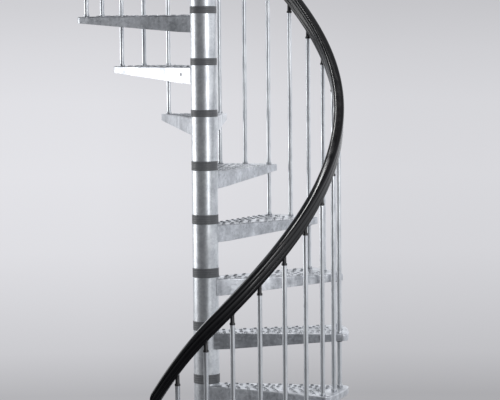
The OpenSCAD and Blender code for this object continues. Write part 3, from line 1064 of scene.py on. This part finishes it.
@functools.cache
def finish(name):
    """A finish by name, made once: its node group and the group's values, then how metallic
    it is, and the strength and height of its bump."""
    f = settings().finishes
    tube = {"Light": f.tube_light, "Dark": f.tube_dark, "Roughness": f.tube_rough}
    sheet = {
        "Light": f.zinc_light, "Dark": f.zinc_dark, "Roughness": f.sheet_rough,
        "Cloud Scale": 11.0, "Spangle Scale": 95.0,
    }
    hub = tube | {
        "Roughness": f.tube_rough + 0.02, "Cloud Scale": 16.0, "Spangle Scale": 120.0,
    }
    bolt = tube | {"Dark": f.zinc_dark, "Roughness": 0.34, "Blotch Scale": 60.0}
    ring = moulded(f.ring_grey, (0.30, 0.31, 0.32), 0.10, 0.42, 700.0)
    cap = moulded(f.cap_black, (0.12, 0.12, 0.13), 0.15, 0.34, 900.0)
    rail = moulded(f.rail_black, (0.05, 0.05, 0.055), 0.05, f.rail_rough, 500.0)
    group, values, metallic, bump, height = {
        "zinc_sheet": (make_zinc_group, sheet, 0.88, 0.5, 1.6 * MM),
        # Tread 10's sheet, with its round spot of painted shade
        "zinc_sheet_shade_spot": (
            make_zinc_group, sheet | {"Shade Spot Place": painted_shade_spot()}, 0.88, 0.5, 1.6 * MM,
        ),
        "zinc_hub": (make_zinc_group, hub, 0.93, 0.12, 0.6 * MM),
        "zinc_tube": (make_streak_group, tube | {"Blotch Scale": 13.0}, 0.95, 0.10, 0.25 * MM),
        "zinc_bolt": (make_streak_group, bolt, 0.95, 0.2, 0.2 * MM),
        "ring_plastic": (make_moulded_group, ring, 0.0, 0.25, 0.15 * MM),
        "cap_plastic": (make_moulded_group, cap, 0.0, 0.25, 0.1 * MM),
        "rail_plastic": (make_moulded_group, rail, 0.0, 0.05, 0.02 * MM),
    }[name]
    material = make_material(name, group(), values, metallic, bump, height)
    if name == "rail_plastic":
        shader = material.node_tree.nodes["Principled BSDF"]
        shader.inputs["Specular IOR Level"].default_value = 0.4
    return material


# ------------------------------------------------------------- operators


class PieceOperator:
    """What every operator here shares."""

    bl_options = {"REGISTER", "UNDO"}


class STAIR_OT_treads(PieceOperator, bpy.types.Operator):
    """Folded treads with raised anti-slip crowns, welded to their hubs."""

    bl_idname = "staircase.treads"
    bl_label = "Treads"

    def execute(self, context):
        shell = build_stepped_piece(0.0, True, [])
        for i, name in enumerate(TREADS):
            placed = shell.moved(stair_matrix(tread_angle(i + 1), 0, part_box(name)[0].z))
            # The marked tread gets the sheet with the round spot of painted shade
            sheet = "zinc_sheet_shade_spot" if name == MARKED_TREAD else "zinc_sheet"
            placed.piece(name + "_folded", [sheet, "zinc_hub"], name)
        return {"FINISHED"}


class STAIR_OT_landing(PieceOperator, bpy.types.Operator):
    """Landing with raised crowns and fixing holes in its far flange."""

    bl_idname = "staircase.landing"
    bl_label = "Landing"

    def execute(self, context):
        t = settings().treads
        _, dist = side_line()
        corner_along = sqrt((t.outer_r - t.corner_r) ** 2 - (dist - t.corner_r) ** 2)
        pitch = (corner_along - HUB_R) / 3
        holes = [(HUB_R + (i + 0.5) * pitch, t.flange_hub / 2, t.fixing_r) for i in range(3)]
        shell = build_stepped_piece(2 * t.turn, False, holes)
        middle = tread_turn() * (len(TREADS) + 1)
        placed = shell.moved(stair_matrix(middle, 0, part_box(LANDING)[0].z))
        placed.piece("landing_folded", ["zinc_sheet", "zinc_hub"], LANDING)
        return {"FINISHED"}


class STAIR_OT_rings(PieceOperator, bpy.types.Operator):
    """Spacer discs with rounded rims, stacked between the hubs."""

    bl_idname = "staircase.rings"
    bl_label = "Spacer rings"

    def execute(self, context):
        c = settings().column
        hubs = [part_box(name) for name in TREADS + [LANDING]]
        lows = [settings().column.base_h] + [hub[1].z for hub in hubs]
        highs = [hub[0].z for hub in hubs] + [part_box("newel_tube")[0].z]
        groups = {"spacers_lower": Shell(), "spacers_upper": Shell()}
        for low, high in zip(lows, highs):
            count = round((high - low) / c.disc_h)
            shell = groups["spacers_lower" if count > 3 else "spacers_upper"]
            for i in range(count):
                z = low + i * c.disc_h
                bore = c.pole_r + PLAY
                profile = rounded_ring(bore, DISC_R, z, z + c.disc_h, c.disc_edge, 3)
                shell.join(lathe(profile, COLUMN_STEPS))
        for name, shell in groups.items():
            shell.piece(name + "_discs", ["ring_plastic"], name)
        return {"FINISHED"}


class STAIR_OT_newel_cap(PieceOperator, bpy.types.Operator):
    """Domed cap on the newel tube."""

    bl_idname = "staircase.newel_cap"
    bl_label = "Newel cap"

    def execute(self, context):
        h = settings().column.cap_h
        rim, soft, edge = DISC_R, 2.5 * MM, 0.6 * MM
        plug_r = HUB_R - 3.9 * MM
        profile = [(0, -PLUG), (plug_r, -PLUG), (plug_r, 0), (rim - edge, 0), (rim, edge)]
        profile += [
            (rim - soft + soft * cos(a), h * 0.5 + soft * sin(a))
            for a in (radians(22.5 * i) for i in range(5))
        ]
        base = h * 0.5 + soft
        for i in range(1, 9):
            r = (rim - soft) * (1 - i / 9)
            profile.append((r, base + (h - base) * (1 - (r / (rim - soft)) ** 2)))
        profile.append((0, h))
        cap = lathe(profile, COLUMN_STEPS, False)
        placed = cap.moved(Matrix.Translation((0, 0, NEWEL_TOP)))
        placed.piece("newel_cap_domed", ["ring_plastic"], "newel_cap")
        return {"FINISHED"}


class STAIR_OT_balusters(PieceOperator, bpy.types.Operator):
    """Round tube balusters, and the one that stands on the floor."""

    bl_idname = "staircase.balusters"
    bl_label = "Balusters"

    def execute(self, context):
        for name, (first, last) in BALUSTER_GROUPS.items():
            shell = Shell()
            for k in range(first, last + 1):
                degrees = baluster_angle(k)
                tube = build_baluster(foot_top(k), cap_height(degrees) + TUBE_IN_CAP)
                shell.join(tube, on_circle(degrees))
            shell.piece(name + "_tubes", ["zinc_tube"], name)
        rail = settings().railing
        degrees = start_angle()
        tube = build_baluster(rail.start_plate_h, cap_height(degrees) + TUBE_IN_CAP)
        tube = tube.moved(on_circle(degrees))
        tube.piece("start_baluster_tube", ["zinc_tube"], "start_baluster")
        return {"FINISHED"}


class STAIR_OT_caps(PieceOperator, bpy.types.Operator):
    """Black caps between the balusters and the handrail, with their screws."""

    bl_idname = "staircase.caps"
    bl_label = "Baluster caps"

    def execute(self, context):
        rail = settings().railing
        caps, screws = Shell(), Shell()
        head = [(0, 0), (4.0, 0), (4.0, 1.2), (3.4, 2.1), (1.4, 2.4), (0, 2.4)]
        head = lathe(in_mm(head), 16, False)
        outward, uphill = 8 * MM, 7 * MM
        for degrees in baluster_angles():
            place = on_circle(degrees, cap_height(degrees))
            caps.join(build_cap(degrees), place)
            slope = atan(rail_slope(degrees))
            height = rail.cap_h - 0.4 * MM + uphill * tan(slope)
            seat = Matrix.Translation((outward, uphill, height))
            turned_down = Matrix.Rotation(slope, 4, "X") @ Matrix.Rotation(pi, 4, "X")
            screws.join(head, place @ seat @ turned_down)
        caps.piece("baluster_caps_moulded", ["cap_plastic"], "baluster_caps")
        screws.piece("cap_screws", ["zinc_bolt"])
        return {"FINISHED"}


class STAIR_OT_fittings(PieceOperator, bpy.types.Operator):
    """Foot collars, corner bushes, floor plate and bolts."""

    bl_idname = "staircase.fittings"
    bl_label = "Fittings"

    def execute(self, context):
        rail, t = settings().railing, settings().treads
        inner, outer = rail.tube_r + PLAY, rail.tube_r + COLLAR_WALL
        half = tread_turn() / 2
        last = len(TREADS) + 1
        collars = Shell()
        collar = lathe(rounded_ring(inner, outer, 0, rail.foot_h, 1.2 * MM, 3), 32)
        places = [(baluster_angle(k), foot_top(k)) for k in range(0, 2 * len(TREADS) + 6)]
        places += [(tread_angle(n) - half, tread_top(n)) for n in range(1, last + 1)]
        for degrees, z in places:
            collars.join(collar, on_circle(degrees, z))
        collars.piece("foot_collars_turned", ["zinc_bolt"], "foot_collars")

        bushes = Shell()
        for n in range(2, last + 1):
            depth = t.flange_hub if n == last else t.flange_outer
            low = -depth - rail.bush_show
            profile = rounded_ring(inner, rail.tube_r + 2.5 * MM, low, -t.sheet, 0.8 * MM, 2)
            bushes.join(lathe(profile, 32), on_circle(tread_angle(n) - half, tread_top(n)))
        bushes.piece("corner_bushes_moulded", ["cap_plastic"], "corner_bushes")

        bolts = Shell()
        under = Matrix.Rotation(pi, 4, "X")
        for k in range(0, 2 * len(TREADS) + 6):
            place = on_circle(baluster_angle(k), foot_top(k) - t.sheet) @ under
            bolts.join(bolt("baluster"), place)
        bolts.piece("baluster_bolts", ["zinc_bolt"])

        anchors = Shell()
        c = settings().column
        stud = [(0, 2), (5.4, 2), (5.4, 20), (4.4, 21), (0, 21)]
        stud = lathe(in_mm(stud), 24, False)
        for i in range(4):
            turn = Matrix.Rotation(radians(45 + 90 * i), 4, "Z")
            place = turn @ Matrix.Translation((c.anchor_r, 0, c.base_h))
            anchors.join(bolt("anchor"), place)
            anchors.join(stud, place)
        anchors.piece("base_anchors", ["zinc_bolt"])

        plate = Shell()
        place = on_circle(start_angle())
        top = rail.start_plate_h
        bore = rail.tube_r - rail.tube_wall - 0.3 * MM
        plate.join(lathe(rounded_ring(bore, rail.start_plate, 0, top, 1.2 * MM, 3), 48), place)
        collar = rounded_ring(inner, outer, top, top + rail.foot_h, 1.2 * MM, 3)
        plate.join(lathe(collar, 32), place)
        head = [(0, 0), (4.2, 0), (4.0, 1.2), (2.4, 2.4), (0, 2.4)]
        head = lathe(in_mm(head), 16, False)
        for i in range(3):
            turn = Matrix.Rotation(radians(30 + 120 * i), 4, "Z")
            plate.join(head, place @ turn @ Matrix.Translation((PLATE_SCREWS, 0, top)))
        plate.piece("start_plate_turned", ["zinc_bolt"], "start_plate")
        return {"FINISHED"}


class STAIR_OT_handrail(PieceOperator, bpy.types.Operator):
    """Smooth black handrail with its two rounded end pieces."""

    bl_idname = "staircase.handrail"
    bl_label = "Handrail"

    def execute(self, context):
        h = settings().handrail
        profile = rail_profile()
        low, high = rail_reach()
        steps = ceil((high - low) / in_degrees(h.step))
        rings = [rail_ring(profile, low + (high - low) * i / steps) for i in range(steps + 1)]
        shell = Shell()
        shell.capped(shell.rows([ring[::-1] for ring in rings], True))
        shell.piece("handrail_profile", ["rail_plastic"], "handrail", 50.0)
        reach = in_degrees(h.end_l / baluster_radius())
        plain = rail_profile(False)
        ends = (("handrail_end_lower", low, -1), ("handrail_end_upper", high, 1))
        for name, start, way in ends:
            rings = [rail_ring(plain, start), rail_ring(plain, start + way * reach * 0.25)]
            for i in range(1, 9):
                a = radians(78 * i / 8)
                place = start + way * reach * (0.25 + 0.72 * sin(a))
                rings.append(rail_ring(plain, place, 0.55 + 0.45 * cos(a)))
            shell = Shell()
            order = rings if way > 0 else rings[::-1]
            shell.capped(shell.rows([ring[::-1] for ring in order], True))
            shell.piece(name + "_rounded", ["rail_plastic"], name, 50.0)
        return {"FINISHED"}


class STAIR_OT_plain_pieces(PieceOperator, bpy.types.Operator):
    """Finishes of the base plate, the centre pole and the newel tube."""

    bl_idname = "staircase.plain_pieces"
    bl_label = "Plain pieces"

    def execute(self, context):
        for name in ("base_plate", "centre_pole", "newel_tube"):
            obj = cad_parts[name]
            obj.data.materials.clear()
            obj.data.materials.append(finish("zinc_hub"))
        return {"FINISHED"}


class STAIR_OT_stage(PieceOperator, bpy.types.Operator):
    """Studio floor, lights, surroundings and camera."""

    bl_idname = "staircase.stage"
    bl_label = "Stage"

    def execute(self, context):
        s = settings().stage
        context.scene.view_settings.view_transform = "Standard"
        self.make_floor(s)
        self.make_surroundings()
        # Name, bearing, distance, height, size, power and the height aimed at.
        self.make_light("left_softbox", 168, 3.3, 2.0, (2.0, 2.0), s.left_power)
        self.make_light("right_softbox", 302, 4.3, 2.6, (0.4, 2.3), s.right_power)
        self.make_light("top_softbox", 90, 1.2, 6.0, (3.0, 2.0), s.top_power, 3.0)
        self.make_light("strip_light", 195, 1.6, 6.4, (3.2, 0.45), s.strip_power, 2.4)
        self.make_camera(context, s)
        return {"FINISHED"}

    def make_floor(self, s):
        shell = Shell()
        below = -0.5 * MM  # so that no face lies in the base plate's
        shell.face(shell.add(circle(s.floor_r, below, 96)))
        mesh = bpy.data.meshes.new("studio_floor")
        mesh.from_pydata(shell.points, [], shell.faces)
        material, w, shader = new_material("studio_floor")
        # The floor is pale to the camera and dark to every other ray: painted shade that darkens
        # the floor's reflection in the metal and the light it throws back
        seen = w.node("ShaderNodeLightPath").outputs["Is Camera Ray"]
        pale = w.mix(seen, (0.12, 0.12, 0.125, 1), (0.62, 0.62, 0.64, 1))
        w.link(pale, shader.inputs["Base Color"])
        shader.inputs["Roughness"].default_value = 0.75
        mesh.materials.append(material)
        add_object("studio_floor", mesh)

    def make_surroundings(self):
        """A pale backdrop for the camera, and for reflections a room that is pale behind the
        stair, mid grey at its sides and dark on the side of the first tread."""
        world = bpy.data.worlds.new("studio")
        world.use_nodes = True
        w = Wiring(world.node_tree)
        world.node_tree.nodes.clear()
        direction = w.node("ShaderNodeTexCoord").outputs["Generated"]
        apart = w.node("ShaderNodeSeparateXYZ")
        w.link(direction, apart.inputs[0])
        seen = w.node("ShaderNodeValToRGB")
        w.link(w.ranged(apart.outputs["Z"], -0.30, 0.14), seen.inputs[0])
        stops = [
            (0.0, 0.56), (0.16, 0.54), (0.289, 0.46), (0.336, 0.597), (0.391, 0.672),
            (0.445, 0.737), (0.53, 0.77), (0.611, 0.752), (0.666, 0.70), (0.717, 0.63),
            (1.0, 0.50),
        ]
        self.fill_ramp(seen.color_ramp, stops, (1.0, 1.0, 1.045))
        aside = w.ranged(apart.outputs["X"], -0.07, 0.065, 1.0, 0.90)
        backdrop = w.mix(1.0, seen.outputs[0], aside, "MULTIPLY")
        round_it = w.math("ARCTAN2", apart.outputs["Y"], apart.outputs["X"])
        around = w.ranged(round_it, -pi, pi)
        high, low = w.node("ShaderNodeValToRGB"), w.node("ShaderNodeValToRGB")
        rooms = (
            (high, ((180, 0.55), (198, 0.45), (218, 0.24), (240, 0.27), (258, 0.31), (275, 0.45),
                    (290, 0.90), (305, 1.25), (322, 1.25), (338, 1.10), (350, 1.05), (30, 1.05),
                    (90, 1.35), (121, 0.95), (145, 0.75))),
            (low, ((180, 0.60), (200, 0.42), (218, 0.24), (240, 0.11), (258, 0.07), (272, 0.08),
                   (290, 0.20), (308, 0.42), (322, 0.70), (338, 1.00), (350, 1.10), (30, 1.05),
                   (90, 0.90), (121, 0.60), (150, 0.50))),
        )
        for ramp, levels in rooms:
            w.link(around, ramp.inputs[0])
            stops = sorted((((bearing + 180) % 360) / 360, level) for bearing, level in levels)
            self.fill_ramp(ramp.color_ramp, stops + [(1.0, levels[0][1])], (1.0, 1.02, 1.06))
        upper = w.ranged(apart.outputs["Z"], -0.14, -0.03)
        room_colour = w.mix(upper, low.outputs[0], high.outputs[0])
        dimmed = w.math(
            "MULTIPLY",
            w.ranged(apart.outputs["Z"], -0.22, -0.14, 0.30, 1.0),
            w.ranged(apart.outputs["Z"], 0.28, 0.60, 1.0, 0.30),
        )
        room_colour = w.mix(1.0, room_colour, dimmed, "MULTIPLY")
        ray = w.node("ShaderNodeLightPath")
        lit = w.mix(ray.outputs["Is Camera Ray"], room_colour, backdrop)
        background = w.node("ShaderNodeBackground")
        w.link(lit, background.inputs["Color"])
        background.inputs["Strength"].default_value = 1.0
        w.link(background.outputs[0], w.node("ShaderNodeOutputWorld").inputs["Surface"])
        bpy.context.scene.world = world

    def fill_ramp(self, ramp, stops, tint):
        while len(ramp.elements) > 1:
            ramp.elements.remove(ramp.elements[-1])
        for i, (place, value) in enumerate(stops):
            stop = ramp.elements[0] if i == 0 else ramp.elements.new(place)
            stop.position = place
            stop.color = (*(value * part for part in tint), 1)

    def make_light(self, name, bearing, distance, height, size, power, aim=2.0):
        data = bpy.data.lights.new(name, "AREA")
        data.shape = "RECTANGLE"
        data.size, data.size_y = size
        data.energy = power
        obj = add_object(name, data)
        obj.location = polar(distance, radians(bearing), height)
        sight = Vector((0, 0, aim)) - Vector(obj.location)
        if height < 4:  # the side lights stand upright
            sight.z = 0
        obj.rotation_euler = sight.to_track_quat("-Z", "Y").to_euler()
        obj.visible_camera = False

    def make_camera(self, context, s):
        data = bpy.data.cameras.new("camera")
        data.sensor_width = 36
        data.lens = s.lens
        obj = add_object("camera", data)
        right = Vector((cos(s.yaw), -sin(s.yaw), 0))
        ahead = Vector((sin(s.yaw), cos(s.yaw), 0))
        up = ahead * sin(s.pitch) + Vector((0, 0, cos(s.pitch)))
        right, up = (
            right * cos(s.roll) + up * sin(s.roll),
            up * cos(s.roll) - right * sin(s.roll),
        )
        back = right.cross(up)
        turn = Matrix((right, up, back)).transposed().to_4x4()
        place = Matrix.Translation((0, -s.distance, s.eye))
        obj.matrix_world = Matrix.Rotation(s.around, 4, "Z") @ place @ turn
        data.clip_end = 100
        context.scene.camera = obj


class STAIR_PT_panel(bpy.types.Panel):
    """Lists the operators in the sidebar."""

    bl_label = "Staircase"
    bl_idname = "STAIR_PT_panel"
    bl_space_type = "VIEW_3D"
    bl_region_type = "UI"
    bl_category = "Staircase"

    def draw(self, context):
        for operator in OPERATORS:
            self.layout.operator(operator.bl_idname)


class StaircaseSettings(bpy.types.PropertyGroup):
    """All the settings in one place."""

    treads: PointerProperty(type=TreadSettings)
    column: PointerProperty(type=ColumnSettings)
    railing: PointerProperty(type=RailingSettings)
    handrail: PointerProperty(type=HandrailSettings)
    finishes: PointerProperty(type=FinishSettings)
    stage: PointerProperty(type=StageSettings)


OPERATORS = (
    STAIR_OT_treads,
    STAIR_OT_landing,
    STAIR_OT_rings,
    STAIR_OT_newel_cap,
    STAIR_OT_balusters,
    STAIR_OT_caps,
    STAIR_OT_fittings,
    STAIR_OT_handrail,
    STAIR_OT_plain_pieces,
    STAIR_OT_stage,
)
GROUPS = (
    TreadSettings,
    ColumnSettings,
    RailingSettings,
    HandrailSettings,
    FinishSettings,
    StageSettings,
    StaircaseSettings,
)


def register():
    for group in GROUPS:
        bpy.utils.register_class(group)
    for operator in OPERATORS:
        bpy.utils.register_class(operator)
    bpy.utils.register_class(STAIR_PT_panel)
    bpy.types.Scene.staircase = PointerProperty(type=StaircaseSettings)


def unregister():
    del bpy.types.Scene.staircase
    bpy.utils.unregister_class(STAIR_PT_panel)
    for cls in reversed(GROUPS + OPERATORS):
        bpy.utils.unregister_class(cls)


def main():
    register()
    for operator in OPERATORS:
        group, name = operator.bl_idname.split(".")
        getattr(getattr(bpy.ops, group), name)()


if __name__ == "__main__":
    main()
